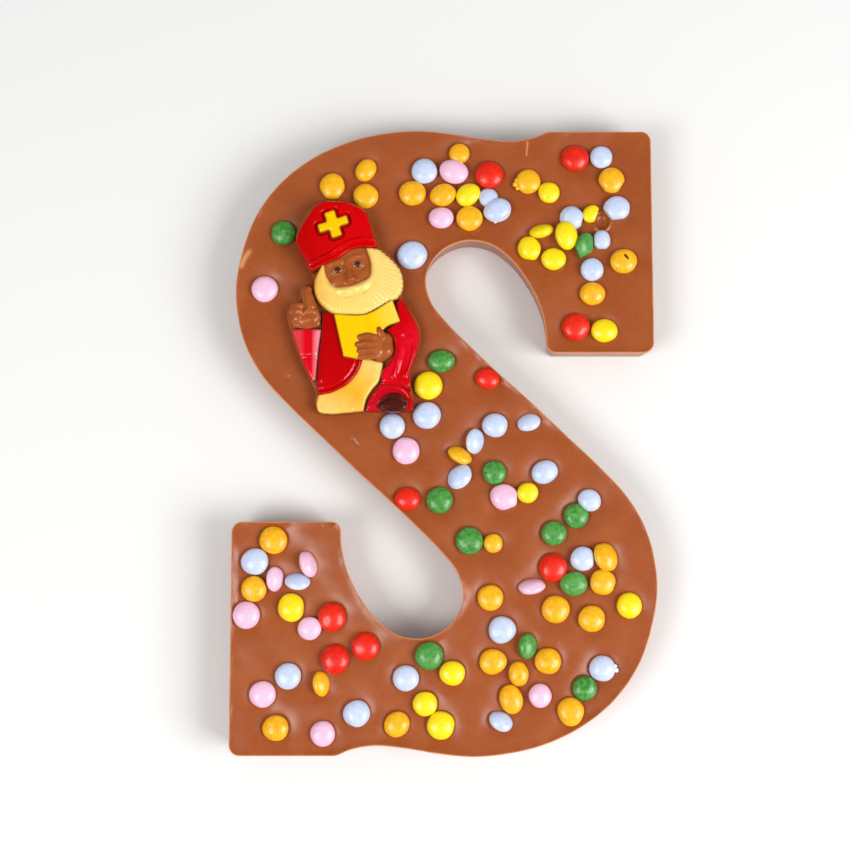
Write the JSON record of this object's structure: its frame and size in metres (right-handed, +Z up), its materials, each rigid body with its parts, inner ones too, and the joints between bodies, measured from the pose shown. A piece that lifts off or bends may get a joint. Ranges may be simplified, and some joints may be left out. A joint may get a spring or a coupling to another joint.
{
  "type": "chocolate letter",
  "caption": "Solid milk chocolate letter S, studded on top with sugar-shelled lentils in mixed colours and carrying a coloured moulded bishop figure. A sweet to share.",
  "frame": {"origin": "under the middle of the letter, on the surface that it lies on", "axes": "+Z up out of the decorated face, +Y towards the top of the letter, +X to the reader's right"},
  "size_m": [0.1606, 0.239, 0.0265],
  "materials": {
    "milk_chocolate": "satin cast milk chocolate; the lentils fused in it have glossy sugar shells",
    "coloured_chocolate": "satin moulded chocolate, coloured red, yellow, cream and brown by form"
  },
  "bodies": {
    "root": {"letter": "milk_chocolate", "bishop_figure": "coloured_chocolate"}
  },
  "joints": []
}
